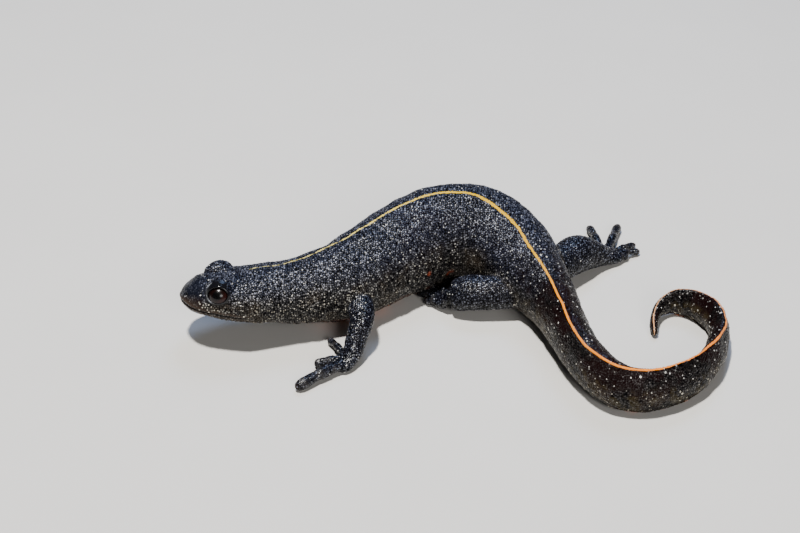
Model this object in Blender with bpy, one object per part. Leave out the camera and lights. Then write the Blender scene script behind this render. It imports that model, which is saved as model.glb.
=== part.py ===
"""Italian crested newt, life size, at rest on a flat floor, as a still model in named parts.

World frame: metres, +Z up, floor at z = 0, head toward -X, origin under the middle of the whole
animal.  The sizes below are in millimetres and become metres where a mesh is made.  Left and
right are the animal's own: its left side faces -Y.
"""

import math

import bmesh
import bpy
import numpy as np
from mathutils import Vector

MM = 0.001
GAP = 0.3

# Where the middle of the whole animal's box lies in the layout below, so that it ends up at x = y = 0.
LAYOUT_CENTRE = (6.74, -5.56)

# The body from the tip of the snout to the tip of the tail.  Each row: x, y and height of the
# section's widest line, half width, reach above it, reach below it, lean of the top to the
# right in degrees, and fullness of the section (2 is an ellipse, less is keel-shaped).
HEAD_ROWS = [
    (-27.35, -9.45, 6.4, 2.2, 2.05, 1.4, 12, 2.2),
    (-25.55, -9.20, 6.0, 3.1, 2.5, 1.6, 12, 2.2),
    (-23.15, -8.90, 5.9, 4.0, 2.8, 2.1, 12, 2.2),
    (-20.75, -8.60, 5.75, 4.7, 3.1, 2.6, 12, 2.2),
    (-18.6, -8.30, 5.6, 4.8, 3.5, 3.0, 12, 2.1),
    (-16.3, -7.85, 5.4, 4.5, 3.8, 3.2, 12, 2.0),
]
TRUNK_ROWS = [
    (-13.6, -7.3, 5.3, 4.4, 4.0, 3.7, 12, 2.0),
    (-10.6, -6.2, 5.2, 4.7, 4.5, 4.4, 11, 2.0),
    (-7.2, -4.6, 5.1, 5.1, 5.1, 4.9, 9, 2.0),
    (-3.6, -1.6, 5.0, 5.4, 5.9, 5.2, 7, 2.0),
    (0.2, 1.7, 5.0, 5.8, 6.6, 5.2, 4, 2.0),
    (5.2, 5.2, 5.0, 6.0, 7.1, 5.2, 1, 2.0),
    (10.6, 5.6, 5.0, 6.0, 6.7, 5.2, -2, 2.0),
    (14.6, 2.0, 4.8, 5.35, 5.7, 5.0, -3, 2.0),
    (17.1, -3.0, 4.4, 4.3, 4.9, 4.58, -5, 2.0),
    (19.15, -7.6, 4.0, 3.2, 4.6, 4.16, -8, 2.0),
]
TAIL_ROWS = [
    (20.5, -12.2, 3.8, 2.65, 4.4, 3.95, -12, 1.9),
    (21.9, -17.0, 3.6, 2.4, 4.2, 3.75, -12, 1.8),
    (23.5, -20.5, 3.4, 2.25, 4.0, 3.54, -8, 1.7),
    (25.7, -23.0, 3.2, 2.1, 3.6, 3.33, -3, 1.6),
    (28.8, -23.7, 3.0, 1.8, 3.2, 3.12, 0, 1.6),
    (32.0, -22.9, 2.8, 1.6, 3.1, 2.91, 0, 1.6),
    (34.9, -21.1, 2.6, 1.5, 3.0, 2.70, 0, 1.6),
    (37.4, -18.2, 2.5, 1.4, 2.8, 2.60, 0, 1.6),
    (39.1, -14.6, 2.4, 1.3, 2.6, 2.50, 0, 1.6),
    (39.9, -10.9, 2.2, 1.2, 2.5, 2.29, 0, 1.6),
    (39.2, -7.8, 2.1, 1.1, 2.4, 2.18, 0, 1.6),
    (37.3, -5.7, 2.0, 0.95, 2.2, 2.08, 0, 1.7),
    (35.0, -5.0, 1.9, 0.75, 1.7, 1.6, 0, 1.8),
    (33.2, -5.9, 1.6, 0.6, 1.25, 1.2, 0, 1.9),
    (32.3, -7.8, 1.2, 0.5, 0.9, 0.85, 0, 2.0),
    (32.15, -10.2, 0.75, 0.4, 0.45, 0.45, 0, 2.0),
]
BODY_ROWS = HEAD_ROWS + TRUNK_ROWS + TAIL_ROWS

# The body's nodes from front to back, with the place along the body where each one ends.
BODY_PARTS = [
    ("head", 13.2),
    ("neck", 19.0),
    ("trunk_front", 27.5),
    ("trunk_middle", 37.0),
    ("trunk_rear", 46.0),
    ("pelvis", 53.5),
    ("tail_base", 63.5),
    ("tail_front", 73.5),
    ("tail_bend", 83.0),
    ("tail_rear", 91.5),
    ("tail_hook", 99.0),
    ("tail_end", 104.5),
    ("tail_tip", None),
]
BODY_SIDES = 28
RING_STEP = 1.7
SNOUT_ROUND = 2.3
TAIL_TIP_ROUND = 0.6
ROUND_ANGLES = (12, 28, 46, 66, 86)
# How far back the shape runs that clears the legs from the body.
TRUNK_CLEARANCE_END = 66.0

# The head's own places: distance behind the snout, to the animal's left, and above the widest line.
EYE_AT = (4.8, 3.1, 1.5)
EYE_RADIUS = 1.3
EYE_GAZE = (-0.25, 0.90, 0.36)
EYE_SEGMENTS = (20, 12)
SOCKET_SEGMENTS = (24, 14)
# The fleshy mound that holds each eye, sunk behind it and a little above its middle.
MOUND_RADIUS = 1.95
MOUND_BEHIND = 0.62
MOUND_ABOVE = 0.35
# The rim of the lids, a ring in front of the eye's middle.
LID_RING_RADIUS = 1.41
LID_THICKNESS = 0.5
LID_OUTWARD = 0.60
LID_SEGMENTS = (28, 8)
NOSTRIL_AT = (0.8, 1.35, 0.75)
NOSTRIL_RADIUS = 0.3
NOSTRIL_SEGMENTS = (10, 6)
JAW_LENGTH = 9.6
MOUTH_DROP_AT_SNOUT = 0.2
MOUTH_DROP_AT_CORNER = 1.3
# The block that parts the jaws: how far it reaches before the snout, its width and its height.
MOUTH_BLOCK = (6.0, 16.0, 8.0)
LIP_THICKNESS = 0.6
LIP_TAPER = 0.6
LIP_BESIDE_MOUTH = 0.42
LIP_SUNK = 0.13
LIP_LENGTH = 8.4
LIP_POINTS = 10
LIP_SEARCH_STEP = 0.02

# Legs from the root inside the body to the end of the palm or sole: x, y, height, half width,
# reach above, reach below.
LEFT_FORELEG = [
    (-6.2, -5.2, 5.0, 1.9, 1.8, 1.8),
    (-5.2, -8.6, 5.0, 1.7, 1.6, 1.6),
    (-4.7, -11.4, 4.3, 1.5, 1.4, 1.4),
    (-5.4, -13.4, 2.7, 1.3, 1.2, 1.2),
    (-6.05, -14.9, 1.4, 1.25, 1.0, 1.0),
    (-7.1, -15.9, 0.85, 1.45, 0.75, 0.92),
    (-8.0, -16.5, 0.7, 1.3, 0.6, 0.81),
]
RIGHT_FORELEG = [
    (-8.6, -3.0, 5.0, 1.9, 1.8, 1.8),
    (-8.8, 0.0, 4.6, 1.75, 1.65, 1.65),
    (-9.4, 2.2, 3.8, 1.5, 1.4, 1.4),
    (-10.6, 3.5, 2.7, 1.3, 1.15, 1.15),
    (-12.0, 4.1, 1.6, 1.3, 0.9, 0.9),
    (-13.2, 4.2, 0.95, 1.35, 0.7, 0.9),
    (-14.2, 4.1, 0.75, 1.35, 0.6, 0.87),
    (-15.0, 4.0, 0.7, 1.1, 0.5, 0.81),
]
LEFT_HIND_LEG = [
    (17.6, -4.4, 3.9, 2.2, 2.3, 2.2),
    (14.0, -4.6, 3.4, 2.15, 2.2, 2.1),
    (11.0, -4.6, 3.2, 2.25, 2.15, 2.1),
    (8.9, -4.35, 3.0, 2.4, 2.2, 2.1),
    (7.5, -3.8, 2.3, 2.4, 1.9, 1.9),
    (6.6, -3.3, 1.5, 2.0, 1.4, 1.4),
    (5.6, -2.7, 0.9, 1.8, 0.9, 1.0),
    (4.7, -1.9, 0.7, 1.5, 0.6, 0.81),
]
RIGHT_HIND_LEG = [
    (18.0, -1.6, 3.9, 2.4, 2.3, 2.3),
    (21.2, 1.8, 3.3, 2.3, 2.35, 2.3),
    (23.6, 4.3, 2.9, 2.5, 2.5, 2.3),
    (25.8, 5.6, 2.0, 1.9, 1.8, 1.8),
    (27.4, 6.5, 1.25, 1.8, 1.15, 1.2),
    (28.7, 7.3, 0.85, 1.8, 0.8, 0.98),
    (29.4, 7.9, 0.7, 1.4, 0.6, 0.81),
]
# Where each leg is parted at its elbow or knee and at its wrist or ankle, as a share of its length.
FORELEG_CUTS = (0.52, 0.80)
HIND_LEG_CUTS = (0.54, 0.78)
LEG_SIDES = 14
LEG_STEP = 1.2
PALM_ROUND = 0.8

# Fingers and toes from the inner one outward: tip's x and y, and thickness in the middle.
LEFT_FINGERS = [
    (-8.9, -10.9, 0.9),
    (-10.5, -15.8, 1.1),
    (-12.6, -20.4, 1.4),
    (-10.1, -18.3, 0.9),
]
RIGHT_FINGERS = [
    (-14.9, 1.0, 0.9),
    (-17.9, 2.5, 1.0),
    (-18.4, 4.7, 1.0),
    (-16.4, 5.0, 0.9),
]
LEFT_TOES = [
    (7.0, 1.5, 1.5),
    (5.1, 1.3, 1.3),
    (2.8, 0.3, 1.0),
    (2.2, -0.9, 1.05),
    (3.4, -2.9, 0.95),
]
RIGHT_TOES = [
    (26.1, 14.0, 1.1),
    (30.2, 14.3, 1.15),
    (32.0, 9.9, 0.85),
    (32.4, 8.3, 0.9),
    (30.6, 7.0, 0.9),
]
DIGIT_ARCH = 0.35
# A digit's thickness at its tip, as a share of that in its middle.
DIGIT_TIP_SHARE = 0.9
DIGIT_TIP_SUNK = 0.03
DIGIT_PLACES = (0.0, 0.2, 0.4, 0.6, 0.8, 0.95, 1.0)
DIGIT_TIP_ROUND = 0.5
# Where the digits root in the palm: how far back from its end, how far across, and how much
# farther back the outer ones are.
ROOT_BACK = 1.2
ROOT_SPREAD = 0.6
OUTER_ROOT_BACK = 0.8

WELD_DISTANCE = 1e-6
TANGENT_STEP = 0.05

# Colour and roughness of each kind of surface.
SKIN_FINISH = ((0.018, 0.018, 0.022), 0.55)
TAIL_FINISH = ((0.022, 0.020, 0.022), 0.50)
LIMB_FINISH = ((0.030, 0.032, 0.040), 0.45)
EYE_FINISH = ((0.050, 0.016, 0.008), 0.08)


def spline(rows):
    """A smooth curve through rows of numbers, measured along their first three, and its length."""
    table = np.array(rows, float)
    steps = np.linalg.norm(np.diff(table[:, :3], axis=0), axis=1)
    at = np.concatenate([[0.0], np.cumsum(steps)])
    slopes = np.gradient(table, at, axis=0)

    def value(s):
        i = int(np.clip(np.searchsorted(at, s) - 1, 0, len(at) - 2))
        h = at[i + 1] - at[i]
        t = (s - at[i]) / h
        return (
            (2 * t**3 - 3 * t**2 + 1) * table[i]
            + (t**3 - 2 * t**2 + t) * h * slopes[i]
            + (3 * t**2 - 2 * t**3) * table[i + 1]
            + (t**3 - t**2) * h * slopes[i + 1]
        )

    return value, at[-1]


def frame_on(curve, s):
    """Unit vectors at a place on a curve: along it, to the animal's right, and up."""
    before = curve(s - TANGENT_STEP)[:3]
    after = curve(s + TANGENT_STEP)[:3]
    along = Vector(after - before).normalized()
    right = Vector((0, 0, 1)).cross(along).normalized()
    return along, right, along.cross(right)


def section(curve, s, sides, shift=0.0, grow=0.0, scale=1.0):
    """The ring of points round a curve at s, moved along it by shift and grown outward."""
    row = curve(s)
    half, above, below = (scale * size + grow for size in row[3:6])
    lean, fullness = (row[6], row[7]) if len(row) > 6 else (0.0, 2.0)
    along, right, up = frame_on(curve, s)
    turn = math.radians(lean)
    side = right * math.cos(turn) - up * math.sin(turn)
    top = up * math.cos(turn) + right * math.sin(turn)
    centre = Vector(row[:3]) + along * shift
    points = []
    for k in range(sides):
        angle = 2 * math.pi * k / sides
        across = math.copysign(abs(math.sin(angle)) ** (2 / fullness), math.sin(angle))
        height = math.copysign(abs(math.cos(angle)) ** (2 / fullness), math.cos(angle))
        reach = above if height > 0 else below
        points.append(centre + side * half * across + top * reach * height)
    return points


def placed(point):
    """A point of the layout in millimetres as a point of the world in metres."""
    x, y, z = point
    return Vector((x - LAYOUT_CENTRE[0], y - LAYOUT_CENTRE[1], z)) * MM


def material(name, colour, roughness):
    mat = bpy.data.materials.new(name)
    mat.use_nodes = True
    shader = mat.node_tree.nodes["Principled BSDF"]
    shader.inputs["Base Color"].default_value = (*colour, 1)
    shader.inputs["Roughness"].default_value = roughness
    shader.inputs["Metallic"].default_value = 0
    return mat


def add_object(name, mesh, collection):
    obj = bpy.data.objects.new(name, mesh)
    collection.objects.link(obj)
    return obj


def loft(name, rings, collection, start_tip=None, end_tip=None):
    """A closed skin over rings of equally many points, with flat ends or ends drawn to a tip."""
    sides = len(rings[0])
    points = [placed(point) for ring in rings for point in ring]
    faces = []
    for r in range(len(rings) - 1):
        for k in range(sides):
            a = r * sides + k
            b = r * sides + (k + 1) % sides
            faces.append((a, b, b + sides, a + sides))
    last = (len(rings) - 1) * sides
    for first, tip, order in ((0, start_tip, -1), (last, end_tip, 1)):
        ring = list(range(first, first + sides))[::order]
        if tip is None:
            faces.append(ring)
            continue
        points.append(placed(tip))
        for k in range(sides):
            faces.append((ring[k], ring[(k + 1) % sides], len(points) - 1))
    mesh = bpy.data.meshes.new(name)
    mesh.from_pydata(points, [], faces)
    outward(mesh)
    return add_object(name, mesh, collection)


def outward(mesh):
    """Turns every face of a closed mesh to point out."""
    bm = bmesh.new()
    bm.from_mesh(mesh)
    bmesh.ops.recalc_face_normals(bm, faces=bm.faces)
    bm.to_mesh(mesh)
    bm.free()


def rest_on_floor(obj):
    """Presses whatever reaches below the floor up to it, which leaves a small flat there."""
    for vertex in obj.data.vertices:
        vertex.co.z = max(vertex.co.z, 0.0)


def places_between(start, end, step):
    count = max(2, round((end - start) / step))
    return [start + (end - start) * k / count for k in range(1, count)]


def rounded_start(curve, radius, sides, grow=0.0):
    """Rings that open a blunt tip like a dome, from the tip backward."""
    rings = []
    for degrees in ROUND_ANGLES:
        angle = math.radians(degrees)
        s = radius * (1 - math.cos(angle))
        rings.append(section(curve, s, sides, grow=grow, scale=math.sin(angle)))
    return rings


def rounded_end(curve, length, radius, sides):
    """Rings that close a blunt tip like a dome, up to the tip."""
    rings = []
    for degrees in reversed(ROUND_ANGLES):
        angle = math.radians(degrees)
        s = length - radius * (1 - math.cos(angle))
        rings.append(section(curve, s, sides, scale=math.sin(angle)))
    return rings


def body_loft(name, start, end, collection, grow=0.0):
    """One length of the body.  A start or end of None is the snout or the tip of the tail."""
    rings = []
    start_tip = None
    end_tip = None
    first = start
    last = end
    if start is None:
        rings += rounded_start(BODY, SNOUT_ROUND, BODY_SIDES, grow)
        start_tip = BODY(0)[:3]
        first = SNOUT_ROUND
    else:
        rings.append(section(BODY, start, BODY_SIDES, shift=GAP / 2, grow=grow))
    if end is None:
        last = BODY_LENGTH - TAIL_TIP_ROUND
        end_tip = BODY(BODY_LENGTH)[:3]
    for s in places_between(first, last, RING_STEP):
        rings.append(section(BODY, s, BODY_SIDES, grow=grow))
    if end is None:
        rings += rounded_end(BODY, BODY_LENGTH, TAIL_TIP_ROUND, BODY_SIDES)
    else:
        rings.append(section(BODY, end, BODY_SIDES, shift=-GAP / 2, grow=grow))
    return loft(name, rings, collection, start_tip, end_tip)


def as_cutter(obj):
    obj.hide_render = True
    obj.display_type = "WIRE"
    return obj


def boolean(obj, operation, operand=None, collection=None):
    """Adds one EXACT Boolean to an object, with another object or a whole collection."""
    modifier = obj.modifiers.new(operation.lower(), "BOOLEAN")
    modifier.operation = operation
    modifier.solver = "EXACT"
    if collection is None:
        modifier.object = operand
    else:
        modifier.operand_type = "COLLECTION"
        modifier.collection = collection


def apply_modifiers(obj):
    """Makes an object's evaluated shape its own mesh and keeps its largest closed surface."""
    bpy.context.view_layer.update()
    graph = bpy.context.evaluated_depsgraph_get()
    mesh = bpy.data.meshes.new_from_object(obj.evaluated_get(graph))
    obj.modifiers.clear()
    obj.data = mesh
    keep_largest(mesh)


def keep_largest(mesh):
    bm = bmesh.new()
    bm.from_mesh(mesh)
    waiting = set(bm.verts)
    islands = []
    while waiting:
        found = [waiting.pop()]
        for vertex in found:
            for edge in vertex.link_edges:
                other = edge.other_vert(vertex)
                if other in waiting:
                    waiting.remove(other)
                    found.append(other)
        islands.append(found)
    islands.sort(key=len, reverse=True)
    scraps = [vertex for island in islands[1:] for vertex in island]
    bmesh.ops.delete(bm, geom=scraps, context="VERTS")
    bm.to_mesh(mesh)
    bm.free()


def fuse(base, pieces):
    """Joins closed pieces to a base by one union, and removes them."""
    group = bpy.data.collections.new(base.name + "_pieces")
    bpy.context.scene.collection.children.link(group)
    for piece in pieces:
        for owner in list(piece.users_collection):
            owner.objects.unlink(piece)
        group.objects.link(piece)
    boolean(base, "UNION", collection=group)
    apply_modifiers(base)
    for piece in pieces:
        bpy.data.objects.remove(piece)
    bpy.data.collections.remove(group)


def tube(name, points, radii, collection):
    """A closed tapering tube along points in the layout, as a mesh."""
    curve = bpy.data.curves.new(name, "CURVE")
    curve.dimensions = "3D"
    curve.bevel_depth = MM
    curve.bevel_resolution = 2
    curve.use_fill_caps = True
    line = curve.splines.new("POLY")
    line.points.add(len(points) - 1)
    for spot, point, radius in zip(line.points, points, radii):
        spot.co = (*placed(point), 1)
        spot.radius = radius
    wire = add_object(name + "_path", curve, collection)
    bpy.context.view_layer.update()
    graph = bpy.context.evaluated_depsgraph_get()
    mesh = bpy.data.meshes.new_from_object(wire.evaluated_get(graph))
    bm = bmesh.new()
    bm.from_mesh(mesh)
    bmesh.ops.remove_doubles(bm, verts=bm.verts, dist=WELD_DISTANCE)
    bmesh.ops.recalc_face_normals(bm, faces=bm.faces)
    bm.to_mesh(mesh)
    bm.free()
    bpy.data.objects.remove(wire)
    return add_object(name, mesh, collection)


def ball(name, centre, radius, segments, collection):
    bm = bmesh.new()
    around, rings = segments
    bmesh.ops.create_uvsphere(bm, u_segments=around, v_segments=rings, radius=radius * MM)
    mesh = bpy.data.meshes.new(name)
    bm.to_mesh(mesh)
    bm.free()
    obj = add_object(name, mesh, collection)
    obj.location = placed(centre)
    return obj


def head_axes():
    """The head's own directions at the eyes: backward, to the left, and up."""
    back, right, up = frame_on(BODY, EYE_AT[0])
    turn = math.radians(BODY(EYE_AT[0])[6])
    left = -(right * math.cos(turn) - up * math.sin(turn))
    top = up * math.cos(turn) + right * math.sin(turn)
    return back, left, top


def head_point(place, side=1):
    """A place on the head, given behind the snout, to the left and above the widest line."""
    behind, out, high = place
    back, left, top = head_axes()
    return Vector(BODY(behind)[:3]) + left * (side * out) + top * high


def gaze(side):
    back, left, top = head_axes()
    return (back * EYE_GAZE[0] + left * (side * EYE_GAZE[1]) + top * EYE_GAZE[2]).normalized()


def eye_mound(side, collection):
    """The fleshy mound that one eye sits in."""
    above = head_axes()[2] * MOUND_ABOVE
    centre = head_point(EYE_AT, side) - gaze(side) * MOUND_BEHIND + above
    return ball("eye_mound", centre, MOUND_RADIUS, SOCKET_SEGMENTS, collection)


def lid_ring(side):
    """The rim of one eye's lids, a torus that faces the way the eye does."""
    centre = head_point(EYE_AT, side) + gaze(side) * LID_OUTWARD
    bpy.ops.mesh.primitive_torus_add(
        major_segments=LID_SEGMENTS[0],
        minor_segments=LID_SEGMENTS[1],
        major_radius=LID_RING_RADIUS * MM,
        minor_radius=LID_THICKNESS / 2 * MM,
        location=placed(centre),
        rotation=gaze(side).to_track_quat("Z", "Y").to_euler(),
    )
    return bpy.context.object


def mouth_drop(behind):
    share = behind / JAW_LENGTH
    return MOUTH_DROP_AT_SNOUT + (MOUTH_DROP_AT_CORNER - MOUTH_DROP_AT_SNOUT) * share


def head_outline(behind, drop):
    """Half width of the head at a distance behind the snout and below the widest line."""
    row = BODY(behind)
    open_share = 1.0
    if behind < SNOUT_ROUND:
        open_share = math.sqrt(1 - (1 - behind / SNOUT_ROUND) ** 2)
    reach = (row[5] if drop > 0 else row[4]) * open_share
    if abs(drop) >= reach:
        return 0.0
    return row[3] * open_share * math.sqrt(1 - (drop / reach) ** 2)


def lip(name, offset, collection):
    """A lip from one corner of the mouth round the snout to the other, offset below the mouth."""
    front = 0.0
    while head_outline(front, mouth_drop(front) + offset) == 0:
        front += LIP_SEARCH_STEP
    points = []
    radii = []
    for k in range(-LIP_POINTS, LIP_POINTS + 1):
        t = k / LIP_POINTS
        behind = front + (LIP_LENGTH - front) * t * t
        drop = mouth_drop(behind) + offset
        out = max(0.0, head_outline(behind, drop) - LIP_SUNK)
        points.append(head_point((behind, math.copysign(out, t), -drop)))
        radii.append(LIP_THICKNESS / 2 * (1 - LIP_TAPER * t**4))
    return tube(name, points, radii, collection)


def mouth_block(name, gap, collection):
    """A wedge-shaped block under the mouth line, from before the snout to the mouth's corner."""
    back, left, top = head_axes()
    slope = math.atan2(MOUTH_DROP_AT_CORNER - MOUTH_DROP_AT_SNOUT, JAW_LENGTH)
    lengthwise = back * math.cos(slope) - top * math.sin(slope)
    upright = left.cross(lengthwise)
    bm = bmesh.new()
    bmesh.ops.create_cube(bm, size=1)
    before, width, height = MOUTH_BLOCK
    length = JAW_LENGTH + before
    corner = head_point((JAW_LENGTH, 0, -MOUTH_DROP_AT_CORNER)) + (lengthwise + upright) * gap
    middle = corner - lengthwise * (length / 2) - upright * (height / 2)
    for vertex in bm.verts:
        x, y, z = vertex.co
        spot = middle + lengthwise * (x * length) + left * (y * width) + upright * (z * height)
        vertex.co = placed(spot)
    bm.normal_update()
    bmesh.ops.recalc_face_normals(bm, faces=bm.faces)
    mesh = bpy.data.meshes.new(name)
    bm.to_mesh(mesh)
    bm.free()
    return as_cutter(add_object(name, mesh, collection))


def build_head(collection, cutters):
    """The head with lids, lips and nostrils, its lower jaw, and the two eyes."""
    end = BODY_PARTS[0][1]
    head = body_loft("head", None, end, collection)
    jaw = body_loft("lower_jaw", None, end, collection)
    lids = [lid_ring(side) for side in (1, -1)]
    mounds = [eye_mound(side, cutters) for side in (1, -1)]
    fuse(head, mounds + lids + [lip("upper_lip", -LIP_BESIDE_MOUTH, cutters)])
    fuse(jaw, [lip("lower_lip", LIP_BESIDE_MOUTH, cutters)])
    boolean(head, "DIFFERENCE", mouth_block("mouth_gap", GAP / 2, cutters))
    boolean(jaw, "INTERSECT", mouth_block("jaw_block", -GAP / 2, cutters))
    eyes = []
    for side, name in ((1, "left"), (-1, "right")):
        centre = head_point(EYE_AT, side)
        nose = head_point(NOSTRIL_AT, side)
        socket = ball("socket_" + name, centre, EYE_RADIUS + GAP, SOCKET_SEGMENTS, cutters)
        pit = ball("nostril_" + name, nose, NOSTRIL_RADIUS, NOSTRIL_SEGMENTS, cutters)
        boolean(head, "DIFFERENCE", as_cutter(socket))
        boolean(head, "DIFFERENCE", as_cutter(pit))
        eyes.append(ball("eye_" + name, centre, EYE_RADIUS, EYE_SEGMENTS, collection))
    apply_modifiers(head)
    apply_modifiers(jaw)
    return [head, jaw], eyes


def build_body(collection):
    """Neck, trunk and tail in lengths that meet end to end."""
    parts = []
    start = BODY_PARTS[0][1]
    for name, end in BODY_PARTS[1:]:
        part = body_loft(name, start, end, collection)
        rest_on_floor(part)
        parts.append(part)
        start = end
    return parts


def digit(name, root, tip, collection):
    """A finger or toe that arches from inside the palm to a tip on the floor."""
    tip_x, tip_y, thickness = tip
    radius = thickness / 2
    tip_radius = radius * DIGIT_TIP_SHARE
    points = []
    radii = []
    for t in DIGIT_PLACES:
        x = root.x + (tip_x - root.x) * t
        y = root.y + (tip_y - root.y) * t
        low = root.z + (tip_radius - DIGIT_TIP_SUNK - root.z) * t
        points.append((x, y, low + DIGIT_ARCH * math.sin(math.pi * t)))
        radii.append(radius + (tip_radius - radius) * t**2)
    radii[-1] = tip_radius * DIGIT_TIP_ROUND
    return tube(name, points, radii, collection)


def build_leg(names, rows, cuts, digits, trunk_cutter, collection):
    """One leg in three nodes: upper length, lower length, and hand or foot with its digits."""
    curve, length = spline(rows)
    places = [0.0] + [length * share for share in cuts]
    parts = []
    for name, start, end in zip(names[:2], places, places[1:]):
        rings = [section(curve, start, LEG_SIDES, shift=GAP / 2 if start else 0.0)]
        for s in places_between(start, end, LEG_STEP):
            rings.append(section(curve, s, LEG_SIDES))
        rings.append(section(curve, end, LEG_SIDES, shift=-GAP / 2))
        part = loft(name, rings, collection)
        rest_on_floor(part)
        parts.append(part)
    for part in parts:
        boolean(part, "DIFFERENCE", trunk_cutter)
        apply_modifiers(part)
    wrist = places[-1]
    rings = [section(curve, wrist, LEG_SIDES, shift=GAP / 2)]
    for s in places_between(wrist, length - PALM_ROUND, LEG_STEP):
        rings.append(section(curve, s, LEG_SIDES))
    rings += rounded_end(curve, length, PALM_ROUND, LEG_SIDES)
    palm = loft(names[2], rings, collection, end_tip=curve(length)[:3])
    fuse(palm, palm_digits(names[2], curve, length, digits, collection))
    boolean(palm, "DIFFERENCE", trunk_cutter)
    apply_modifiers(palm)
    rest_on_floor(palm)
    return parts + [palm]


def palm_digits(name, curve, length, digits, collection):
    """The digits of one palm, rooted across its width from the inner one outward."""
    base = curve(length - ROOT_BACK)
    along, right, up = frame_on(curve, length - PALM_ROUND)
    found = []
    inward = Vector((digits[0][0], digits[0][1], 0)) - Vector((digits[-1][0], digits[-1][1], 0))
    across = right if inward.dot(right) > 0 else -right
    for k, tip in enumerate(digits):
        share = 1 - 2 * k / (len(digits) - 1)
        root = Vector(base[:3]) + across * (share * base[3] * ROOT_SPREAD)
        root -= along * (abs(share) * OUTER_ROOT_BACK)
        found.append(digit(f"{name}_digit_{k + 1}", root, tip, collection))
    return found


def clear_scene():
    for obj in list(bpy.data.objects):
        bpy.data.objects.remove(obj)


def new_collection(name):
    collection = bpy.data.collections.new(name)
    bpy.context.scene.collection.children.link(collection)
    return collection


def dress(objects, finish):
    """Gives each object its own plain material and smooth shading."""
    for obj in objects:
        obj.data.materials.clear()
        obj.data.materials.append(material(obj.name + "_finish", *finish))
        obj.data.shade_smooth()


BODY, BODY_LENGTH = spline(BODY_ROWS)


def main():
    clear_scene()
    collection = new_collection("italian_crested_newt")
    cutters = new_collection("newt_cutters")
    flesh, eyes = build_head(collection, cutters)
    body = build_body(collection)
    neck_start = BODY_PARTS[0][1]
    clearance = body_loft("trunk_clearance", neck_start, TRUNK_CLEARANCE_END, cutters, GAP)
    trunk_cutter = as_cutter(clearance)
    legs = [
        (("upper_arm_left", "forearm_left", "hand_left"), LEFT_FORELEG, FORELEG_CUTS, LEFT_FINGERS),
        (("upper_arm_right", "forearm_right", "hand_right"), RIGHT_FORELEG, FORELEG_CUTS, RIGHT_FINGERS),
        (("thigh_left", "shank_left", "foot_left"), LEFT_HIND_LEG, HIND_LEG_CUTS, LEFT_TOES),
        (("thigh_right", "shank_right", "foot_right"), RIGHT_HIND_LEG, HIND_LEG_CUTS, RIGHT_TOES),
    ]
    limbs = []
    for names, rows, cuts, digits in legs:
        limbs += build_leg(names, rows, cuts, digits, trunk_cutter, collection)
    tail = [part for part in body if part.name.startswith("tail")]
    trunk = [part for part in body if part not in tail]
    dress(flesh + trunk, SKIN_FINISH)
    dress(tail, TAIL_FINISH)
    dress(limbs, LIMB_FINISH)
    dress(eyes, EYE_FINISH)


main()
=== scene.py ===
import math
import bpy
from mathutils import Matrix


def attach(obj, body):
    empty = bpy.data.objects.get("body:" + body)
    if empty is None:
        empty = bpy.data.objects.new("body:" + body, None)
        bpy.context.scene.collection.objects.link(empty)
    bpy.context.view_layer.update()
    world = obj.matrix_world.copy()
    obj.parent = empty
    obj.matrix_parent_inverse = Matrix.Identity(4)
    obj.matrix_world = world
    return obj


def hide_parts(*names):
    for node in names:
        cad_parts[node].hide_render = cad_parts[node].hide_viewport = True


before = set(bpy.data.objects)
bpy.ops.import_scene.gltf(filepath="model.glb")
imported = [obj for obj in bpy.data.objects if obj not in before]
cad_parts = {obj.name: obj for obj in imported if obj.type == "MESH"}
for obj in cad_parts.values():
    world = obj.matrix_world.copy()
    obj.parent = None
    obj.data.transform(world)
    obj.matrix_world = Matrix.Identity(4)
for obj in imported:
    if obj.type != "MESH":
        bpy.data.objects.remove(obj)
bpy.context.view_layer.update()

# The looks of the Italian crested newt: one skin over all its flesh, and two wet eyes. The skin is
# shaped in millimetres in the layout that the solids were drawn in, and becomes metres at the end.

from types import SimpleNamespace

import bpy
import numpy as np
from mathutils import Vector
from mathutils.kdtree import KDTree

MM = 0.001
LAYOUT_CENTRE = np.array((6.74, -5.56, 0.0))
SEED = 7

# The photo's camera: it looks along +Y and down, with its aim at the middle of the picture.
CAMERA_AIM = np.array((0.0, 0.0, 4.0))
CAMERA_DOWN = math.radians(36.0)
CAMERA_DISTANCE = 210.0
PIXEL_AT_AIM = 0.130
PICTURE_WIDTH = 800
SENSOR_WIDTH = 36.0

# The studio, in metres: disc lights aimed at the newt (place, diameter, power, colour), the faint
# light all round, and the floor with its two colours.
LIGHTS = {
    "key_light": ((-0.06, -0.05, 0.42), 0.035, 4.6, (1.0, 0.97, 0.92)),
    "sky_light": ((0.06, 0.26, 0.40), 0.20, 1.3, (0.42, 0.60, 1.0)),
    "fill_light": ((0.16, -0.40, 0.26), 0.20, 1.3, (1.0, 0.97, 0.94)),
}
AROUND = {"Color": (0.80, 0.84, 0.90, 1), "Strength": 0.07}
FLOOR_REACH = 2.0
FLOOR_COLOURS = (0.47, 0.46, 0.44, 1), (0.51, 0.50, 0.48, 1)

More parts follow.
